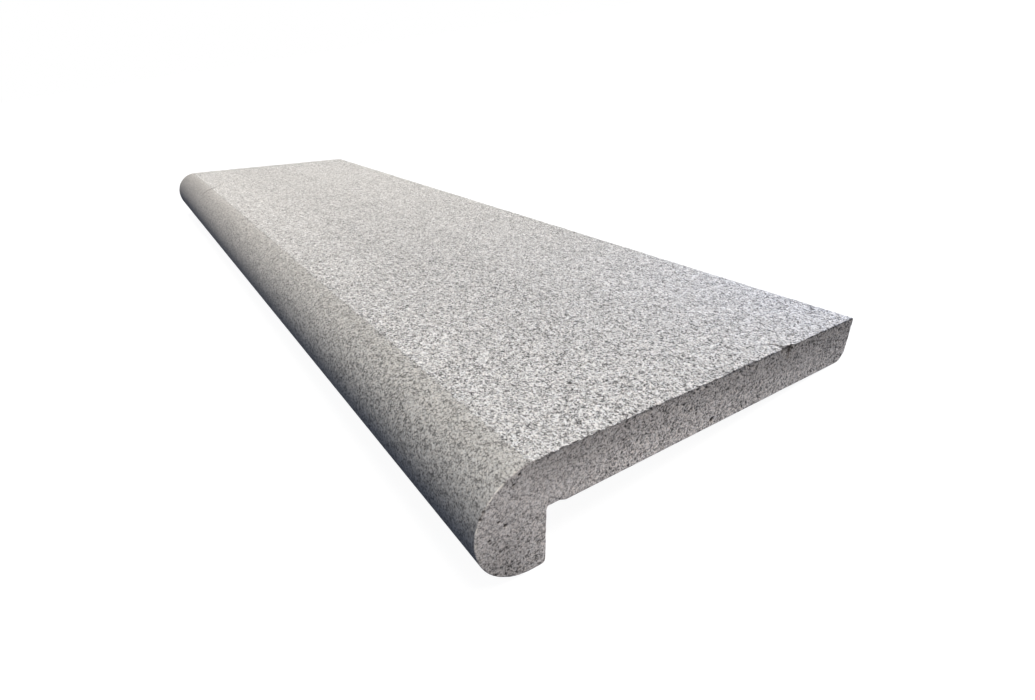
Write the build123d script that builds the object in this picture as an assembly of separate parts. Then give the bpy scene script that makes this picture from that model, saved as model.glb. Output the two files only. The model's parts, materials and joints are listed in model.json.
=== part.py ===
from build123d import *
import os
from math import asin, atan2, degrees, hypot, radians, tan

# A drop-face pool coping stone, sawn from one block of granite.
# The section is drawn level, as the stone is laid: Y runs back from the front of the nose,
# and Z runs up from the bottom of the nose. X runs along the pool's edge.
# The finished stone is then set down on a level floor, as it lies before it is used.

# Driving dimensions, in millimetres
length = 1000.0
width = 300.0
slab_thickness = 32.0
nose_drop = 66.0
foot_flat = 7.0
toe_round = 2.0
rebate_fillet = 1.0
back_bevel = 5.5
back_bevel_round = 5.0
back_arris = 1.5

# What follows from them
nose_radius = nose_drop / 2
nose_thickness = nose_radius + foot_flat
underside_z = nose_drop - slab_thickness
bevel_run_out = back_bevel_round * tan(radians(45 / 2))


def section():
    """The L-shaped section: half-round nose, rebate behind it, slab and bevelled back edge."""
    with BuildSketch(Plane.YZ) as sketch:
        with BuildLine():
            nose = CenterArc((nose_radius, nose_radius), nose_radius, 90, 180)
            FilletPolyline(
                nose @ 1,
                (nose_thickness, 0),
                (nose_thickness, underside_z),
                (width - back_bevel, underside_z),
                (width, underside_z + back_bevel),
                (width, nose_drop),
                nose @ 0,
                radius=[toe_round, rebate_fillet, back_bevel_round, back_bevel_round, back_arris],
            )
        make_face()
    return sketch.sketch


def level_stone():
    """The section run along the whole length, with both ends sawn square."""
    return extrude(section(), length / 2, both=True)


def lying_lean():
    """How far the stone leans back, in degrees, with its toe and its lower back edge on a floor."""
    heel_y = width - back_bevel - bevel_run_out
    across = heel_y - (nose_thickness - toe_round)
    up = underside_z + back_bevel_round - toe_round
    return degrees(atan2(up, across) - asin((back_bevel_round - toe_round) / hypot(across, up)))


def lying_stone():
    """The stone on a level floor, centred over the origin."""
    leaning = Rot(X=-lying_lean()) * level_stone()
    box = leaning.bounding_box()
    return Pos(0, -box.center().Y, -box.min.Z) * leaning


os.makedirs("parts", exist_ok=True)
export_step(lying_stone(), "parts/coping_stone.step")
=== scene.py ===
import json
import math

import bmesh
import bpy
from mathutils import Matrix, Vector


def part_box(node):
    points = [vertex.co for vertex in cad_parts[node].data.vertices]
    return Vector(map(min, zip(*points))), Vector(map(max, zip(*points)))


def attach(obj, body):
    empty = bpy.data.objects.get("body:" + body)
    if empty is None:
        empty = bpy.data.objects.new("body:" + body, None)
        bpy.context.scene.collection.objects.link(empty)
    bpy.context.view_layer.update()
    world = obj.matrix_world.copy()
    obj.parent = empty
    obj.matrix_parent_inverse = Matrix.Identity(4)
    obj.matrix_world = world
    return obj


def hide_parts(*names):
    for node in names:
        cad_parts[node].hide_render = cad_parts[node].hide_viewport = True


# Granite pool coping stone: flamed top, honed half-round nose, sawn ends and underside.
# The block is shaped level, as it is laid (Y from the nose's front to the back, Z from the nose's bottom),
# then leaned back to lie where the frame's stone lies. Everything is in metres.

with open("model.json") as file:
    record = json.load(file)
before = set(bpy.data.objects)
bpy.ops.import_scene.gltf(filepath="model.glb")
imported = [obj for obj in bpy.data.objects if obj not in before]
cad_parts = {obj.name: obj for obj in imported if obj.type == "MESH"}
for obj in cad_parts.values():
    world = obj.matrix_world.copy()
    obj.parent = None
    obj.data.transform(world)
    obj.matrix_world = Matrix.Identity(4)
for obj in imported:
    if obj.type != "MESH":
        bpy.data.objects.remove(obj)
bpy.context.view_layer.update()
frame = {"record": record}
boxLow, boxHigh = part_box("coping_stone")


def leanOfFrame(record):
    bed = next(mount for mount in record["mounts"] if mount["name"] == "bed_face")
    return math.atan2(-bed["axis"][1], -bed["axis"][2])  # the bed face looks straight down on a laid stone


lean = leanOfFrame(frame["record"])
half = (boxHigh.x - boxLow.x) / 2
hair = 1e-5  # places nearer than this count as the same

stoneShape = {
    "width": 0.300,
    "slabThickness": 0.032,
    "noseDrop": 0.066,
    "footFlat": 0.007,  # flat foot between the half round and the rebate
    "toeRound": 0.002,
    "rebateFillet": 0.001,
    "backBevel": 0.0055,
    "backBevelRound": 0.005,
    "backArris": 0.0015,
    "endArris": 0.0004,
    "arrisRoom": 2e-4,  # how far from the end arris's inner line still counts as on it
    "arrisBand": 1.5,  # how many arrises in from the end still belong to its rim
    "squaredArris": 0.9,  # how far the flamed top goes back out over the end arris
    "noseSegments": 14,  # for each quarter of the round
    "noseShare": 0.99999,  # the two quarters all but meet, and their ends are then merged
    "mergeWithin": 2e-6,
    "filletSegments": 3,
    "backArrisSegments": 2,
    "topRows": 98,
    "undersideRows": 23,
    "backRows": 9,
    "rebateRows": 7,
    "shortestRow": 0.004,  # shorter edges than this aren't divided into rows
    "endGrid": 0.00125,
    "endZone": 0.060,  # finer steps along the stone this near to each end
    "endZoneSteps": (5, 7),
    "middleSteps": (14, 18),
    "shortestStep": 0.001,
    "arrisStrip": 0.002,  # the flamed top has finer faces this near to each end
    "arrisStripCuts": 2,
    "smoothAngle": 38,
}
noseRadius = stoneShape["noseDrop"] / 2
noseThickness = noseRadius + stoneShape["footFlat"]
undersideZ = stoneShape["noseDrop"] - stoneShape["slabThickness"]


def deselectAll():
    for thing in list(bpy.context.selected_objects):
        thing.select_set(False)


def pick(stone, kind, test):
    # selects the vertices, edges or faces that pass the test, and nothing else
    bpy.ops.mesh.select_mode(type={"verts": "VERT", "edges": "EDGE", "faces": "FACE"}[kind])
    bpy.ops.mesh.select_all(action="DESELECT")
    mesh = bmesh.from_edit_mesh(stone.data)
    for part in getattr(mesh, kind):
        if test(part):
            part.select_set(True)
    mesh.select_flush_mode()
    bmesh.update_edit_mesh(stone.data)


def near(a, b, room=hair):
    return abs(a - b) < room


def longEdgeAt(y, z):
    def test(edge):
        a, b = (vert.co for vert in edge.verts)
        return all(near(end.y, y) and near(end.z, z) for end in (a, b)) and not near(a.x, b.x)
    return test


def bevelEdges(stone, test, offset, segments):
    pick(stone, "edges", test)
    bpy.ops.mesh.bevel(offset_type="OFFSET", offset=offset, segments=segments, profile=0.5,
                       affect="EDGES", clamp_overlap=False)


def sawBlock(shape):
    # slab first, then its front part pulled down for the nose
    middle = (0, shape["width"] / 2, undersideZ + shape["slabThickness"] / 2)
    bpy.ops.mesh.primitive_cube_add(size=1, location=middle)
    stone = bpy.context.object
    stone.name = "coping_stone_dressed"
    stone.scale = (2 * half, shape["width"], shape["slabThickness"])
    bpy.ops.object.transform_apply(location=True, rotation=True, scale=True)
    bpy.ops.object.mode_set(mode="EDIT")
    bpy.ops.mesh.select_all(action="SELECT")
    bpy.ops.mesh.bisect(plane_co=(0, noseThickness, 0), plane_no=(0, 1, 0))
    pick(stone, "faces", lambda face: face.normal.z < -0.9 and face.calc_center_median().y < noseThickness)
    bpy.ops.mesh.extrude_region_move(TRANSFORM_OT_translate={"value": (0, 0, -undersideZ)})
    bpy.ops.mesh.select_all(action="SELECT")
    bpy.ops.mesh.dissolve_limited(angle_limit=math.radians(1))
    return stone


def roundEdges(stone, shape):
    def noseEdge(edge):
        a, b = (vert.co for vert in edge.verts)
        return near(a.y, 0) and near(b.y, 0) and not near(a.x, b.x)

    def endEdge(edge):
        return all(near(abs(vert.co.x), half) for vert in edge.verts)

    width, drop, fillet = shape["width"], shape["noseDrop"], shape["filletSegments"]
    bevelEdges(stone, noseEdge, noseRadius * shape["noseShare"], shape["noseSegments"])
    bpy.ops.mesh.select_all(action="SELECT")
    bpy.ops.mesh.remove_doubles(threshold=shape["mergeWithin"])
    bevelEdges(stone, longEdgeAt(noseThickness, 0), shape["toeRound"], fillet)
    bevelEdges(stone, longEdgeAt(noseThickness, undersideZ), shape["rebateFillet"], fillet)
    bevelEdges(stone, longEdgeAt(width, undersideZ), shape["backBevel"], 1)
    lower = longEdgeAt(width - shape["backBevel"], undersideZ)
    upper = longEdgeAt(width, undersideZ + shape["backBevel"])
    runOut = shape["backBevelRound"] * math.tan(math.radians(45 / 2))
    bevelEdges(stone, lambda edge: lower(edge) or upper(edge), runOut, fillet)
    bevelEdges(stone, longEdgeAt(width, drop), shape["backArris"], shape["backArrisSegments"])
    bevelEdges(stone, endEdge, shape["endArris"], 1)


def gridEnds(stone, shape):
    # both sawn ends cut into small squares, so that they can take pits and chips
    step = shape["endGrid"]
    for axis, size in ((1, shape["width"]), (2, shape["noseDrop"])):
        for i in range(1, int(size / step)):
            at = Vector((0, 0, 0))
            at[axis] = i * step
            along = Vector((0, 0, 0))
            along[axis] = 1
            pick(stone, "faces", lambda face: abs(face.normal.x) > 0.99)
            bpy.ops.mesh.bisect(plane_co=at, plane_no=along)


def crossEdge(y0, y1, z0, z1):
    # short edges across the stone's length, where a long face ends
    def test(edge):
        a, b = (vert.co for vert in edge.verts)
        inside = all(y0 - hair < end.y < y1 + hair and z0 - hair < end.z < z1 + hair for end in (a, b))
        atEnd = near(a.x, b.x) and near(abs(a.x), half - stoneShape["endArris"], stoneShape["arrisRoom"])
        return inside and atEnd and (a - b).length > stoneShape["shortestRow"]
    return test


def rowsAlong(stone, test, cuts):
    pick(stone, "edges", test)
    bpy.ops.mesh.subdivide(number_cuts=cuts)


def gridLongFaces(stone, shape):
    width, drop = shape["width"], shape["noseDrop"]
    rowsAlong(stone, crossEdge(noseRadius, width, drop, drop), shape["topRows"])
    rowsAlong(stone, crossEdge(noseThickness, width, undersideZ, undersideZ), shape["undersideRows"])
    rowsAlong(stone, crossEdge(width, width, undersideZ, drop), shape["backRows"])
    rowsAlong(stone, crossEdge(noseThickness, noseThickness, 0, undersideZ), shape["rebateRows"])
    zone = half - shape["endZone"]
    for x in (-zone, zone):
        pick(stone, "faces", lambda face: abs(face.normal.x) < 0.1)
        bpy.ops.mesh.bisect(plane_co=(x, 0, 0), plane_no=(1, 0, 0))

    def lengthwise(low, high):
        def test(edge):
            a, b = (vert.co for vert in edge.verts)
            middle = abs(a.x + b.x) / 2
            level = near(a.y, b.y) and near(a.z, b.z)
            return level and low < middle < high and abs(a.x - b.x) > shape["shortestStep"]
        return test

    for steps in shape["endZoneSteps"]:
        rowsAlong(stone, lengthwise(zone, half), steps - 1)
    for steps in shape["middleSteps"]:
        rowsAlong(stone, lengthwise(-1, zone), steps - 1)
    strip = half - shape["arrisStrip"]
    pick(stone, "faces", lambda face: face.normal.z > 0.99 and face.calc_center_median().z > undersideZ
         and strip < abs(face.calc_center_median().x) < half - shape["endArris"])
    bpy.ops.mesh.subdivide(number_cuts=shape["arrisStripCuts"])
    bpy.ops.object.mode_set(mode="OBJECT")


deselectAll()
stone = sawBlock(stoneShape)
roundEdges(stone, stoneShape)
print("block sawn and rounded")
gridEnds(stone, stoneShape)
gridLongFaces(stone, stoneShape)
triangles = sum(len(face.vertices) - 2 for face in stone.data.polygons)
print("block gridded:", len(stone.data.polygons), "faces,", triangles, "triangles")

# relief, always pressed into the stone so that it stays inside the frame's box

reliefSizes = {
    "flamedEdge": 0.030,  # how far behind the nose's front the flaming starts
    "flamedFade": 0.002,  # the relief fades in this far before and behind that edge
    "flamedDepth": 0.005,
    "arrisStarts": (-0.006, 0.004),  # round the flamed edge, where the ragged arris fades in
    "arrisDrop": (0.0030, 0.0008),  # below the top, where the ragged arris begins and is full
    "nickedBelow": 0.002,  # the nicks leave out this much below the top
    "lip": 0.0001,  # how far the top stands out over the sawn ends
    "breakoutDrop": 0.0026,  # how far below the top the ends are broken out under the arris
    "breakoutFull": 0.3,  # the share of that drop over which the breakout has its full depth
    # each pattern's size and depth, the greys that it runs between and the grey that stays where it is
    "flamedGrain": {"size": 0.0042, "depth": 0.0009, "level": 0.64},
    "flamedWaves": {"size": 0.028, "depth": 0.0004, "level": 0.6},
    "raggedArris": {"size": 0.0017, "depth": 0.0012, "greys": (0.22, 0.44)},  # the flamed top's ends
    "nickedArris": {"size": 0.0034, "depth": 0.0006, "greys": (0.15, 0.42)},  # the sawn ends' other edges
    "breakout": {"size": 0.0036, "depth": 0.00022, "greys": (0.35, 0.5)},
    "sawnPits": {"size": 0.0070, "depth": 0.0005, "greys": (0.10, 0.22), "kind": "VORONOI"},
    "sawnWaves": {"size": 0.0060, "depth": 0.00015},
}

# the pale worn line along the nose's rim
wornRim = {
    "heights": (0.018, 0.036),  # it fades in over these heights
    "depths": (0.016, 0.026),  # and out again this far behind the nose's front
}

carving = {
    "reach": 0.01,  # further off than this the distance to a mark isn't measured
    "room": 0.001,  # the finer faces reach this far beyond a mark's width
    "cuts": 2,
    "flatShare": 0.35,  # the share of the width over which a mark has its full depth
    "poreRun": 0.0004,  # how long a pore is
}

# marks of use and handling: points in the laid stone's frame, with x 0 at the near end, how wide each one
# is, which way and how far it is pressed, and how dark it is painted; on the gash and the crack that
# darkness is painted shadow inside them
marks = [
    # painted near black along its line: painted shadow inside the gash
    {"name": "gash",
     "points": [(0.0, 0.2284, 0.0656), (0.0, 0.2275, 0.0631), (0.0, 0.2264, 0.0588)],
     "width": 0.0017, "presses": [("X", -0.0012)], "dark": 1.0},
    # painted near black along its line: painted shadow inside the crack
    {"name": "crack",
     "points": [(-0.0095, 0.2184, 0.0656), (-0.0060, 0.2210, 0.0656), (-0.0022, 0.2218, 0.0656),
                (-0.0010, 0.2250, 0.0656), (0.0, 0.2280, 0.0656)],
     "width": 0.0014, "presses": [("Z", -0.0006)], "dark": 0.9},
    # darkened in its hollow: partly painted shade, partly its brownish tone
    {"name": "spall",
     "points": [(0.0, 0.2200, 0.0650), (0.0, 0.2255, 0.0638)],
     "width": 0.0036, "presses": [("X", -0.0008)], "dark": 0.5},
    {"name": "chip",
     "points": [(0.0, 0.0425, 0.0340), (0.0, 0.0475, 0.0340)],
     "width": 0.0036, "presses": [("X", -0.0003), ("Z", 0.0013)], "dark": 0.0},
    # a darker streak across the nose's far part, pressed in a little
    {"name": "bruise",
     "points": [(-0.8020, 0.0162, 0.0614), (-0.8053, 0.0252, 0.0651), (-0.8172, 0.0350, 0.0659)],
     "width": 0.0034, "presses": [("Z", -0.0003)], "dark": 0.5},
]
endPores = [  # the largest pores in the near end, painted dark as the shade inside the pits: y, z and how wide
    (0.1587, 0.0384, 0.0024),
    (0.1378, 0.0532, 0.0011),
    (0.1429, 0.0486, 0.0011),
    (0.1253, 0.0600, 0.0010),
    (0.1165, 0.0519, 0.0010),
    (0.0209, 0.0575, 0.0010),
    (0.0240, 0.0619, 0.0010),
    (0.0128, 0.0405, 0.0010),
    (0.0164, 0.0367, 0.0013),
    (0.0077, 0.0323, 0.0010),
    (0.0107, 0.0096, 0.0010),
    (0.0053, 0.0506, 0.0010),
    (0.0036, 0.0470, 0.0010),
]
for i, (y, z, width) in enumerate(endPores):
    marks.append({"name": f"pore{i}", "points": [(0.0, y, z), (0.0, y + carving["poreRun"], z)],
                  "width": width, "presses": [("X", -width / 2)], "dark": 1.0})


def smoothStep(low, high, value):
    t = min(1, max(0, (value - low) / (high - low)))
    return t * t * (3 - 2 * t)


def weigh(stone, name, weightOf):
    group = stone.vertex_groups.new(name=name)
    for vert in stone.data.vertices:
        weight = weightOf(vert.co)
        if weight > 0:
            group.add([vert.index], weight, "REPLACE")


def noiseTexture(name, size, low, high, kind):
    texture = bpy.data.textures.new(name, kind)
    texture.noise_scale = size
    if kind == "CLOUDS":
        texture.noise_depth = 2
    if (low, high) != (0, 1):
        texture.use_color_ramp = True
        ramp = texture.color_ramp
        ramp.elements[0].position, ramp.elements[1].position = low, high
        ramp.elements[0].color, ramp.elements[1].color = (0, 0, 0, 1), (1, 1, 1, 1)
    return texture


def pressIn(stone, group, depth, texture=None, direction="NORMAL", level=1.0):
    # black in the texture goes in by the depth, and the level's grey stays where it is
    bpy.ops.object.modifier_add(type="DISPLACE")
    press = stone.modifiers[-1]
    press.vertex_group = group
    press.direction = direction
    press.texture_coords = "LOCAL"
    if texture:
        press.texture = texture
        press.strength = depth
        press.mid_level = level
    else:
        press.strength = -depth
        press.mid_level = 0
    bpy.ops.object.modifier_apply(modifier=press.name)


def roughen(stone, sizes):
    drop, edge = stoneShape["noseDrop"], sizes["flamedEdge"]
    band = stoneShape["endArris"] * stoneShape["arrisBand"]

    def flamed(co):
        below = smoothStep(drop - sizes["flamedDepth"], drop, co.z)
        return below * smoothStep(edge - sizes["flamedFade"], edge + sizes["flamedFade"], co.y)

    def behindNose(co):
        start, end = sizes["arrisStarts"]
        return smoothStep(edge + start, edge + end, co.y)

    def topArris(end):
        # the top's edge at one end of the stone, and a little of the face under it
        def weightOf(co):
            if half - co.x * end > band:
                return 0.0
            begins, full = sizes["arrisDrop"]
            return behindNose(co) * smoothStep(drop - begins, drop - full, co.z)
        return weightOf

    def nicked(co):
        onRim = hair < half - abs(co.x) < band and co.z < drop - sizes["nickedBelow"]
        return 1.0 if onRim else 0.0

    def sawn(co):
        return 1.0 if half - abs(co.x) < hair else 0.0

    def sawnBehind(co):
        return sawn(co) * behindNose(co)

    def underArris(co):
        broken = sizes["breakoutDrop"]
        return sawnBehind(co) * smoothStep(drop - broken, drop - broken * sizes["breakoutFull"], co.z)

    groups = {
        "flamed": flamed,
        "leftArris": topArris(-1),
        "rightArris": topArris(1),
        "rims": nicked,
        "underArris": underArris,
        "sawn": sawn,
        "sawnBehind": sawnBehind,
    }
    for name, weightOf in groups.items():
        weigh(stone, name, weightOf)

    def press(group, key, direction="NORMAL", sign=1):
        relief = sizes[key]
        low, high = relief.get("greys", (0, 1))
        texture = noiseTexture(key, relief["size"], low, high, relief.get("kind", "CLOUDS"))
        pressIn(stone, group, relief["depth"] * sign, texture, direction, relief.get("level", 1.0))

    press("flamed", "flamedGrain", "Z")
    press("flamed", "flamedWaves", "Z")
    press("leftArris", "raggedArris", "X", -1)
    press("rightArris", "raggedArris", "X")
    pressIn(stone, "sawnBehind", sizes["lip"])
    press("underArris", "breakout")
    press("rims", "nickedArris")
    press("sawn", "sawnPits")
    press("sawn", "sawnWaves")
    stone.vertex_groups.clear()


def squareTopArris(stone, edge):
    # the flamed top's ends are left sharp: the bevel's inner line goes back out to the end
    drop, arris = stoneShape["noseDrop"], stoneShape["endArris"]
    bpy.ops.object.mode_set(mode="EDIT")
    for end in (-1, 1):
        pick(stone, "verts", lambda vert: vert.co.y > edge and near(vert.co.z, drop)
             and near(vert.co.x * end, half - arris))
        bpy.ops.transform.translate(value=(end * arris * stoneShape["squaredArris"], 0, 0))
    bpy.ops.object.mode_set(mode="OBJECT")


def distanceTo(points, at, reach):
    # from a place to a line through the points, or 1 where it is clearly out of reach
    best = 1.0
    if (at - points[0]).length > reach + (points[-1] - points[0]).length * 1.5:
        return best
    for start, end in zip(points, points[1:]):
        run = end - start
        along = min(1, max(0, (at - start).dot(run) / run.length_squared))
        best = min(best, (at - start - run * along).length)
    return best


def scar(stone, marks, settings):
    # finer faces round each mark, then the mark itself: pressed in, and darkened through an attribute with
    # painted shade
    reach, room, flatShare = settings["reach"], settings["room"], settings["flatShare"]
    for mark in marks:
        mark["line"] = [Vector(point) + Vector((half, 0, 0)) for point in mark["points"]]

    def nearMark(face):
        middle = face.calc_center_median()
        return any(distanceTo(mark["line"], middle, reach) < mark["width"] + room for mark in marks)

    bpy.ops.object.mode_set(mode="EDIT")
    pick(stone, "faces", nearMark)
    bpy.ops.mesh.subdivide(number_cuts=settings["cuts"])
    bpy.ops.object.mode_set(mode="OBJECT")
    dark = [0.0] * len(stone.data.vertices)
    for mark in marks:
        def nearLine(co):
            away = distanceTo(mark["line"], co, reach)
            return 1 - smoothStep(mark["width"] * flatShare, mark["width"], away)
        for vert in stone.data.vertices:
            dark[vert.index] = max(dark[vert.index], nearLine(vert.co) * mark["dark"])
        weigh(stone, mark["name"], nearLine)
        for direction, distance in mark["presses"]:
            pressIn(stone, mark["name"], -distance, direction=direction)
    stone.vertex_groups.clear()
    # the marks' painted shade and tone, read by both materials
    stone.data.attributes.new("scar", "FLOAT", "POINT").data.foreach_set("value", dark)


def markArrises(stone, settings):
    # 1 along the nose's rim at the sawn ends, for the worn pale line that the material draws there
    rim = [0.0] * len(stone.data.vertices)
    arris = stoneShape["endArris"]
    band = arris * stoneShape["arrisBand"]
    for vert in stone.data.vertices:
        across, up = noseRadius - vert.co.y, vert.co.z - noseRadius
        atEnd = half - abs(vert.co.x) < arris + stoneShape["arrisRoom"]
        if atEnd and across > 0 and math.hypot(across, up) > noseRadius - band:
            rising = smoothStep(*settings["heights"], vert.co.z)
            rim[vert.index] = rising * (1 - smoothStep(*settings["depths"], vert.co.y))
    stone.data.attributes.new("rim", "FLOAT", "POINT").data.foreach_set("value", rim)


def layDown(stone):
    # leans the stone back and sets it where the frame's stone lies
    stone.rotation_euler = (-lean, 0, 0)
    bpy.context.view_layer.update()
    corners = [stone.matrix_world @ vert.co for vert in stone.data.vertices]
    low = Vector([min(corner[axis] for corner in corners) for axis in range(3)])
    high = Vector([max(corner[axis] for corner in corners) for axis in range(3)])
    stone.location = (0, (boxLow.y + boxHigh.y - low.y - high.y) / 2, boxLow.z - low.z)
    place = stone.location.copy()
    bpy.ops.object.transform_apply(location=True, rotation=True, scale=True)
    return place


def giveFinishes(stone, facingUp=0.3):
    # slot 0 is flamed and honed, slot 1 is sawn: the ends, the underside, the rebate and the back
    behindNose = noseThickness - 10 * hair
    for face in stone.data.polygons:
        atEnd = half - abs(face.center.x) < stoneShape["endArris"]
        under = face.center.y > behindNose and face.normal.z < facingUp
        face.material_index = 1 if atEnd or under else 0


giveFinishes(stone)
markArrises(stone, wornRim)
squareTopArris(stone, reliefSizes["flamedEdge"])
roughen(stone, reliefSizes)
scar(stone, marks, carving)
place = layDown(stone)
bpy.ops.object.shade_smooth_by_angle(angle=math.radians(stoneShape["smoothAngle"]))
print("stone laid down at", tuple(round(v, 5) for v in place))

# the camera that took the photo, in the frame's directions, as fitted to the stone's edges
cameraView = {
    "eye": (0.6548, -0.21321, 0.23245),
    "euler": (59.356, 7.4004, 56.1815),  # degrees
    "lens": 19.378,
    "sensor": 36,
    "shift": (0.0221, -0.00158),
    "nearest": 0.01,
}


def addCamera(view):
    turns = [math.radians(turn) for turn in view["euler"]]
    bpy.ops.object.camera_add(location=view["eye"], rotation=turns)
    camera = bpy.context.object
    camera.data.sensor_width = view["sensor"]
    camera.data.lens = view["lens"]
    camera.data.shift_x, camera.data.shift_y = view["shift"]
    camera.data.clip_start = view["nearest"]
    bpy.context.scene.camera = camera


addCamera(cameraView)

studio = {
    "floorSize": 40.0,
    "floorGlow": 0.935,  # how much of the floor's white doesn't depend on the lights
    "floorColour": (0.13, 0.13, 0.13),
    "sunTowards": (0.30, 0.215, 1.0),
    "sunStrength": 2.84,
    "sunAngle": 30,
    "sunColour": (1.0, 0.96, 0.89),
    "skyColours": ((0.55, 0.80, 1.45), (0.80, 0.91, 1.17)),  # below and above the horizon
    "skyStrength": (0.04, 0.22),  # below and above the horizon
    "skyFade": (-0.3, 0.4),  # the heights between which the one goes over into the other
    "areas": (  # place, what it shines at, size, power, colour
        ((-0.33, 0.0, 0.66), (-0.33, 0.0, 0.0), 0.45, 1.50, (1.0, 0.94, 0.85)),  # far half of the top
        ((0.75, -0.12, 0.12), (0.50, -0.11, 0.04), 0.16, 0.23, (1.0, 0.96, 0.94)),  # nose's near end
        ((-0.05, -0.45, 0.45), (-0.05, -0.14, 0.04), 0.40, 0.40, (1.0, 0.93, 0.85)),  # nose
        ((0.48, 0.30, 0.15), (0.46, 0.14, 0.05), 0.08, 0.105, (0.55, 0.80, 1.55)),  # near back corner
        ((-0.10, 1.15, 0.10), (-0.10, 0.15, 0.03), 0.60, 4.2, (1.0, 0.95, 0.88)),  # back
        ((-1.50, 0.0, 0.07), (-0.50, 0.0, 0.03), 0.14, 3.5, (1.0, 0.95, 0.88)),  # far end
    ),
}


def addNode(tree, kind, **settings):
    node = tree.nodes.new(kind)
    for name, value in settings.items():
        setattr(node, name, value)
    return node


def rangeOf(tree, value, fromLow, fromHigh, toLow=0.0, toHigh=1.0):
    spread = addNode(tree, "ShaderNodeMapRange", interpolation_type="SMOOTHSTEP")
    tree.links.new(value, spread.inputs["Value"])
    limits = {"From Min": fromLow, "From Max": fromHigh, "To Min": toLow, "To Max": toHigh}
    for name, number in limits.items():
        spread.inputs[name].default_value = number
    return spread.outputs["Result"]


def calculate(tree, operation, *values):
    step = addNode(tree, "ShaderNodeMath", operation=operation)
    for socket, value in zip(step.inputs, values):
        if isinstance(value, (int, float)):
            socket.default_value = value
        else:
            tree.links.new(value, socket)
    return step.outputs[0]


def mixColours(tree, factor, first, second, blend="MIX"):
    mix = addNode(tree, "ShaderNodeMix", data_type="RGBA", blend_type=blend, clamp_factor=False)
    for socket, value in ((mix.inputs[0], factor), (mix.inputs[6], first), (mix.inputs[7], second)):
        if isinstance(value, (int, float)):
            socket.default_value = value
        elif isinstance(value, tuple):
            socket.default_value = (*value, 1)
        else:
            tree.links.new(value, socket)
    return mix.outputs[2]


def addFloor(settings):
    bpy.ops.mesh.primitive_plane_add(size=settings["floorSize"], location=(0, 0, boxLow.z))
    floor = bpy.context.object
    floor.name = "floor"
    floor.visible_diffuse = floor.visible_glossy = False  # it casts no light up at the stone
    paint = bpy.data.materials.new("floorPaint")
    paint.use_nodes = True
    shader = paint.node_tree.nodes["Principled BSDF"]
    shader.inputs["Base Color"].default_value = (*settings["floorColour"], 1)
    shader.inputs["Roughness"].default_value = 0.9
    shader.inputs["Specular IOR Level"].default_value = 0.0
    shader.inputs["Emission Color"].default_value = (1, 1, 1, 1)
    shader.inputs["Emission Strength"].default_value = settings["floorGlow"]
    floor.data.materials.append(paint)


def aim(light, place, target):
    light.location = place
    light.rotation_euler = (Vector(target) - Vector(place)).to_track_quat("-Z", "Y").to_euler()


def addLights(settings):
    bpy.ops.object.light_add(type="SUN")
    sun = bpy.context.object
    aim(sun, settings["sunTowards"], (0, 0, 0))
    sun.data.energy = settings["sunStrength"]
    sun.data.angle = math.radians(settings["sunAngle"])
    sun.data.color = settings["sunColour"]
    for place, target, size, power, colour in settings["areas"]:
        bpy.ops.object.light_add(type="AREA")
        light = bpy.context.object
        aim(light, place, target)
        light.data.size = size
        light.data.energy = power
        light.data.color = colour
        light.visible_camera = False


def addSky(settings):
    # dim and bluish below the horizon, lighter above, and plain white where the camera sees it
    world = bpy.data.worlds.new("studio")
    bpy.context.scene.world = world
    world.use_nodes = True
    tree = world.node_tree
    sky = tree.nodes["Background"]
    source = addNode(tree, "ShaderNodeTexCoord")
    axes = addNode(tree, "ShaderNodeSeparateXYZ")
    tree.links.new(source.outputs["Generated"], axes.inputs[0])
    below, above = settings["skyStrength"]
    height = rangeOf(tree, axes.outputs["Z"], *settings["skyFade"])
    tree.links.new(mixColours(tree, height, *settings["skyColours"]), sky.inputs["Color"])
    tree.links.new(calculate(tree, "MULTIPLY_ADD", height, above - below, below), sky.inputs["Strength"])
    backdrop = addNode(tree, "ShaderNodeBackground")
    backdrop.inputs["Color"].default_value = (1, 1, 1, 1)
    rays = addNode(tree, "ShaderNodeLightPath")
    mix = addNode(tree, "ShaderNodeMixShader")
    tree.links.new(rays.outputs["Is Camera Ray"], mix.inputs[0])
    tree.links.new(sky.outputs[0], mix.inputs[1])
    tree.links.new(backdrop.outputs[0], mix.inputs[2])
    tree.links.new(mix.outputs[0], tree.nodes["World Output"].inputs["Surface"])


addFloor(studio)
addLights(studio)
addSky(studio)
bpy.context.scene.view_settings.view_transform = "Standard"

# granite: the same crystals run through the whole stone, and each finish shows them its own way

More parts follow.
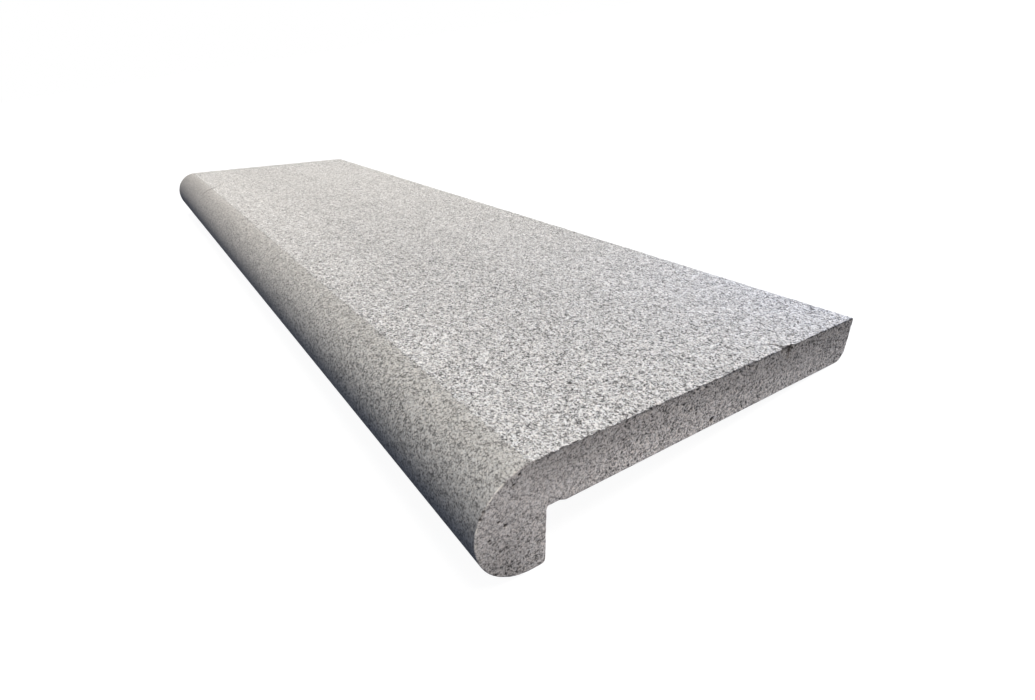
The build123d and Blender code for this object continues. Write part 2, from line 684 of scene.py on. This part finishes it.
granite = {
    "crystalSize": 0.00094,
    "speckSize": 0.00058,
    "clusterSize": 0.0032,
    "shares": (0.38, 0.36, 0.34),  # of crystals, specks and clusters in the tone
    "warp": 0.0005,
    "warpSize": 0.9,  # as a share of the crystals' size
    "crystalTones": (  # where each mineral starts in the mix, and how light it is
        (0.24, 0.11),  # black mica
        (0.36, 0.27),
        (0.44, 0.44),  # grey quartz
        (0.54, 0.62),
        (0.64, 0.86),  # pale feldspar
        (0.78, 1.00),
    ),
    "meanTone": 0.60,
    "warmCrystal": (1.0, 0.975, 0.945),
    "coolCrystal": (0.965, 0.985, 1.0),
    "mottle": (0.015, 0.06),  # size and strength of the broad light and dark patches
    # the marks' dark colour: painted shade inside the cracks and pits
    "scarAndShadeColour": (0.045, 0.038, 0.032),
}
flamedTop = {
    "colour": (0.78, 0.77, 0.76),
    "contrast": 1.22,
    "softer": 0.17,  # the grain is this much softer at the near front corner
    "nearEnd": (0.36, 0.50),  # where that begins and is full along the stone, on the nose too
    "front": (0.040, 0.100),  # and where it is full and ends across the top
    "roughness": 0.95,
    "bump": 0.0005,
    "lane": (0.140, 0.030, 0.075, 0.955),  # a darker lane: its middle, where it fades out, and its tone
    "edge": reliefSizes["flamedEdge"],
    "edgeFade": (0.0022, 0.0038),  # behind that edge
    "ragged": (0.0024, 0.006),  # size and reach of the edge's unevenness
    "heights": (0.045, 0.055),  # nothing below these is flamed
}
honedNose = {
    "colour": (0.634, 0.619, 0.590),
    "farColour": (0.580, 0.556, 0.530),  # a little darker and warmer towards the far end
    "colourAlong": (-0.5, 0.4),  # from where to where the colour goes over
    "contrast": (0.72, 1.08),  # far and near
    "contrastAlong": (-0.5, 0.2),
    "softer": 0.24,  # the grain is this much softer at the near end
    "roughness": 0.6,
    "bump": 0.00008,
}
dressedBump = {
    "fineSize": 0.0014,
    "lumpSize": 0.0034,
    "crystals": 0.5,  # how high the crystals and the lumps stand beside the fine grain
    "lumps": 1.2,
}
sawnEnd = {
    "colour": (0.760, 0.715, 0.690),
    "contrast": (1.10, 0.80, 1.18),  # at the nose's foot, on the nose and on the slab
    "footHeights": (0.005, 0.048),
    "roughness": 0.9,
    "bump": 0.00012,
    "slabDepths": (0.03, 0.11),  # over these the nose's grain goes over into the slab's
    "poreSize": 0.0027,
    "poreWidth": (0.07, 0.24),  # narrowest and widest, as shares of the pores' spacing
    "porePlain": 0.3,  # this share of the pores is the narrowest
    "poreRim": (0.7, 1.1),  # where a pore ends, in its own widths
    # painted shade: the pores are painted dark as the shade inside the pits
    "poreColour": (0.07, 0.066, 0.064),
    "poreGrowth": (0.85, 1.5),  # how much wider the pores are at the nose and towards the back
    "rimColour": (0.80, 0.77, 0.68),
    "rimPatches": (0.0028, 0.42, 0.62, 0.6),  # size, where they begin and are full, and strength
}
# painted light and shade on the sawn ends: darker at the nose's foot and top, lighter low on the slab and
# towards the back, and a painted shadow right under the top's arris
paintedEndShading = {
    "nose": (0.66, 1.02, 0.76),  # how light it is at its foot, higher up and at its top
    "noseHeight": 0.050,  # that higher place
    "slab": (1.17, 0.69),  # at the underside and at the top
    "slabDepths": (0.015, 0.050),  # over these the nose's shade goes over into the slab's
    "back": 1.07,
    "backDepths": (0.06, 0.11),
    "underArris": 0.93,  # painted shadow on the strip right under the top's overhanging arris
    "arrisHeights": (0.0620, 0.0642),
    "ragged": (0.004, 0.0022),  # size and reach of that strip's unevenness
}


def levelCoordinates(tree):
    # the pattern runs in the laid stone's directions, not in the leaning ones
    source = addNode(tree, "ShaderNodeTexCoord")
    turn = addNode(tree, "ShaderNodeMapping", vector_type="TEXTURE")
    turn.inputs["Location"].default_value = place
    turn.inputs["Rotation"].default_value = (-lean, 0, 0)
    tree.links.new(source.outputs["Object"], turn.inputs["Vector"])
    return turn.outputs["Vector"]


def axesOf(tree, at):
    split = addNode(tree, "ShaderNodeSeparateXYZ")
    tree.links.new(at, split.inputs[0])
    return split.outputs


def noiseOf(tree, at, size, detail=2.0):
    noise = addNode(tree, "ShaderNodeTexNoise")
    noise.inputs["Scale"].default_value = 1 / size
    noise.inputs["Detail"].default_value = detail
    tree.links.new(at, noise.inputs["Vector"])
    return noise


def cellsOf(tree, at, size):
    # the distance from each cell's middle, and three random numbers for the cell
    cells = addNode(tree, "ShaderNodeTexVoronoi")
    cells.inputs["Scale"].default_value = 1 / size
    tree.links.new(at, cells.inputs["Vector"])
    split = addNode(tree, "ShaderNodeSeparateColor")
    tree.links.new(cells.outputs["Color"], split.inputs[0])
    return cells.outputs["Distance"], split.outputs


def crystals(tree, at, settings):
    # a tone for each crystal, with its edges warped so that no cell looks cut out
    warp = noiseOf(tree, at, settings["crystalSize"] * settings["warpSize"], 1.0)
    centred = addNode(tree, "ShaderNodeVectorMath", operation="SUBTRACT")
    centred.inputs[1].default_value = (0.5, 0.5, 0.5)
    tree.links.new(warp.outputs["Color"], centred.inputs[0])
    moved = addNode(tree, "ShaderNodeVectorMath", operation="MULTIPLY_ADD")
    moved.inputs[1].default_value = (settings["warp"] * 2,) * 3
    tree.links.new(centred.outputs[0], moved.inputs[0])
    tree.links.new(at, moved.inputs[2])
    crystal = cellsOf(tree, moved.outputs[0], settings["crystalSize"])[1]
    speck = cellsOf(tree, moved.outputs[0], settings["speckSize"])[1]
    clusters = noiseOf(tree, at, settings["clusterSize"], 1.0)
    big, small, broad = settings["shares"]
    tone = calculate(tree, "MULTIPLY", crystal[0], big)
    tone = calculate(tree, "MULTIPLY_ADD", speck[0], small, tone)
    tone = calculate(tree, "MULTIPLY_ADD", clusters.outputs["Fac"], broad, tone)
    ramp = addNode(tree, "ShaderNodeValToRGB")
    tones = settings["crystalTones"]
    while len(ramp.color_ramp.elements) < len(tones):
        ramp.color_ramp.elements.new(0.5)
    for element, (position, grey) in zip(ramp.color_ramp.elements, tones):
        element.position = position
        element.color = (grey, grey, grey, 1)
    tree.links.new(tone, ramp.inputs[0])
    tint = mixColours(tree, crystal[1], settings["coolCrystal"], settings["warmCrystal"])
    return mixColours(tree, 1.0, ramp.outputs[0], tint, "MULTIPLY"), tone


def dimmed(tree, colour, level):
    scale = addNode(tree, "ShaderNodeVectorMath", operation="SCALE")
    tree.links.new(colour, scale.inputs[0])
    tree.links.new(level, scale.inputs["Scale"])
    return scale.outputs[0]


def mottled(tree, at, colour, settings):
    # broad, faint patches, a little lighter or darker
    size, strength = settings["mottle"]
    patches = noiseOf(tree, at, size, 3.0)
    level = calculate(tree, "MULTIPLY_ADD", patches.outputs["Fac"], strength * 2, 1 - strength)
    return dimmed(tree, colour, level)


def newStone(name):
    material = bpy.data.materials.new(name)
    material.use_nodes = True
    return material, material.node_tree, material.node_tree.nodes["Principled BSDF"]


def bumpBy(tree, height, distance, shader):
    bump = addNode(tree, "ShaderNodeBump")
    bump.inputs["Distance"].default_value = 1.0
    tree.links.new(calculate(tree, "MULTIPLY", height, distance), bump.inputs["Height"])
    tree.links.new(bump.outputs[0], shader.inputs["Normal"])


def tintWearAndShade(tree, colour, name, wearAndShadeColour, strength=1.0):
    # a darker or lighter colour where the stone's own attribute says: pale wear along the rim, painted
    # shade in the marks
    wearAndShadeMask = addNode(tree, "ShaderNodeAttribute", attribute_name=name)
    return mixColours(tree, calculate(tree, "MULTIPLY", wearAndShadeMask.outputs["Fac"], strength), colour, wearAndShadeColour)


def grained(tree, grains, finish, contrast, settings):
    mean = (settings["meanTone"],) * 3
    return mixColours(tree, 1.0, finish, mixColours(tree, contrast, mean, grains), "MULTIPLY")


def flamedShare(tree, at, axes, top):
    # 1 where the stone is flamed and 0 on the nose, with a ragged edge between them
    size, reach = top["ragged"]
    ragged = noiseOf(tree, at, size, 3.0)
    start, end = top["edgeFade"]
    edge = calculate(tree, "MULTIPLY_ADD", ragged.outputs["Fac"], reach, axes["Y"])
    behind = rangeOf(tree, edge, top["edge"] + start, top["edge"] + end)
    return calculate(tree, "MULTIPLY", behind, rangeOf(tree, axes["Z"], *top["heights"]))


def dressedContrast(tree, axes, flamed, top, nose):
    nearEnd = rangeOf(tree, axes["X"], *top["nearEnd"])
    front = rangeOf(tree, axes["Y"], *top["front"], 1, 0)
    nearCorner = calculate(tree, "MULTIPLY", nearEnd, front)
    onTop = calculate(tree, "MULTIPLY_ADD", nearCorner, -top["softer"], top["contrast"])
    onNose = rangeOf(tree, axes["X"], *nose["contrastAlong"], *nose["contrast"])
    onNose = calculate(tree, "MULTIPLY_ADD", nearEnd, -nose["softer"], onNose)
    return calculate(tree, "MULTIPLY_ADD", calculate(tree, "SUBTRACT", onTop, onNose), flamed, onNose)


def dressedGranite(settings, top, nose, relief):
    material, tree, shader = newStone("flamedAndHonedGranite")
    at = levelCoordinates(tree)
    grains, tone = crystals(tree, at, settings)
    axes = axesOf(tree, at)
    flamed = flamedShare(tree, at, axes, top)
    contrast = dressedContrast(tree, axes, flamed, top, nose)
    along = rangeOf(tree, axes["X"], *nose["colourAlong"])
    honed = mixColours(tree, along, nose["farColour"], nose["colour"])
    finish = mixColours(tree, flamed, honed, top["colour"])
    colour = mottled(tree, at, grained(tree, grains, finish, contrast, settings), settings)
    middle, inner, outer, shade = top["lane"]
    fromLane = calculate(tree, "ABSOLUTE", calculate(tree, "SUBTRACT", axes["Y"], middle))
    colour = dimmed(tree, colour, rangeOf(tree, fromLane, inner, outer, shade, 1))
    # painted shade in the marks
    colour = tintWearAndShade(tree, colour, "scar", settings["scarAndShadeColour"])
    tree.links.new(colour, shader.inputs["Base Color"])
    roughness = rangeOf(tree, flamed, 0, 1, nose["roughness"], top["roughness"])
    tree.links.new(roughness, shader.inputs["Roughness"])
    fine = noiseOf(tree, at, relief["fineSize"], 2.0)
    lumps = noiseOf(tree, at, relief["lumpSize"], 1.0)
    height = calculate(tree, "MULTIPLY_ADD", tone, relief["crystals"], fine.outputs["Fac"])
    height = calculate(tree, "MULTIPLY_ADD", lumps.outputs["Fac"], relief["lumps"], height)
    depth = rangeOf(tree, flamed, 0, 1, nose["bump"], top["bump"])
    bumpBy(tree, height, depth, shader)
    return material


def poresOf(tree, at, back, sawn):
    # 0 inside each dark pore and 1 outside
    distance, randoms = cellsOf(tree, at, sawn["poreSize"])
    width = rangeOf(tree, randoms[0], sawn["porePlain"], 1, *sawn["poreWidth"])
    width = calculate(tree, "MULTIPLY", width, rangeOf(tree, back, 0, 1, *sawn["poreGrowth"]))
    return rangeOf(tree, calculate(tree, "DIVIDE", distance, width), *sawn["poreRim"])


def paintedEndShadingOf(tree, at, axes, paintedShades):
    # painted light and shade on the sawn ends: by height on the nose and on the slab, lighter towards the
    # back, and a painted shadow right under the top
    drop, middleHeight = stoneShape["noseDrop"], paintedShades["noseHeight"]
    foot, middle, crown = paintedShades["nose"]
    lower = rangeOf(tree, axes["Z"], 0, middleHeight, foot, middle)
    upper = rangeOf(tree, axes["Z"], middleHeight, drop, 1, crown / middle)
    nose = calculate(tree, "MULTIPLY", lower, upper)
    size, reach = paintedShades["ragged"]
    ragged = noiseOf(tree, at, size)
    toTop = calculate(tree, "MULTIPLY_ADD", ragged.outputs["Fac"], reach, axes["Z"])
    slab = rangeOf(tree, axes["Z"], undersideZ, drop, *paintedShades["slab"])
    # painted shadow under the top's arris
    strip = rangeOf(tree, toTop, *paintedShades["arrisHeights"], 1, paintedShades["underArris"])
    slab = calculate(tree, "MULTIPLY", slab, strip)
    back = rangeOf(tree, axes["Y"], *paintedShades["backDepths"], 1, paintedShades["back"])
    slab = calculate(tree, "MULTIPLY", slab, back)
    behindNose = rangeOf(tree, axes["Y"], *paintedShades["slabDepths"])
    return calculate(tree, "MULTIPLY_ADD", calculate(tree, "SUBTRACT", slab, nose), behindNose, nose)


def sawnContrast(tree, axes, back, sawn):
    foot, nose, slab = sawn["contrast"]
    onNose = rangeOf(tree, axes["Z"], *sawn["footHeights"], foot, nose)
    return calculate(tree, "MULTIPLY_ADD", calculate(tree, "SUBTRACT", slab, onNose), back, onNose)


def sawnGranite(settings, sawn, paintedShades):
    material, tree, shader = newStone("sawnGranite")
    at = levelCoordinates(tree)
    grains, tone = crystals(tree, at, settings)
    axes = axesOf(tree, at)
    back = rangeOf(tree, axes["Y"], *sawn["slabDepths"])  # 0 at the nose and 1 further back on the slab
    outside = poresOf(tree, at, back, sawn)
    contrast = sawnContrast(tree, axes, back, sawn)
    colour = grained(tree, grains, sawn["colour"], contrast, settings)
    # pores painted dark as painted shade
    colour = mottled(tree, at, mixColours(tree, outside, sawn["poreColour"], colour), settings)
    # painted light and shade of the sawn ends
    colour = dimmed(tree, colour, paintedEndShadingOf(tree, at, axes, paintedShades))
    size, begin, full, strength = sawn["rimPatches"]
    patchy = rangeOf(tree, noiseOf(tree, at, size).outputs["Fac"], begin, full, 0, strength)
    colour = tintWearAndShade(tree, colour, "rim", sawn["rimColour"], patchy)
    # painted shade in the marks
    colour = tintWearAndShade(tree, colour, "scar", settings["scarAndShadeColour"])
    tree.links.new(colour, shader.inputs["Base Color"])
    shader.inputs["Roughness"].default_value = sawn["roughness"]
    bumpBy(tree, calculate(tree, "ADD", tone, outside), sawn["bump"], shader)
    return material


stone.data.materials.append(dressedGranite(granite, flamedTop, honedNose, dressedBump))
stone.data.materials.append(sawnGranite(granite, sawnEnd, paintedEndShading))
print("granite mixed")
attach(stone, "root")
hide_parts("coping_stone")
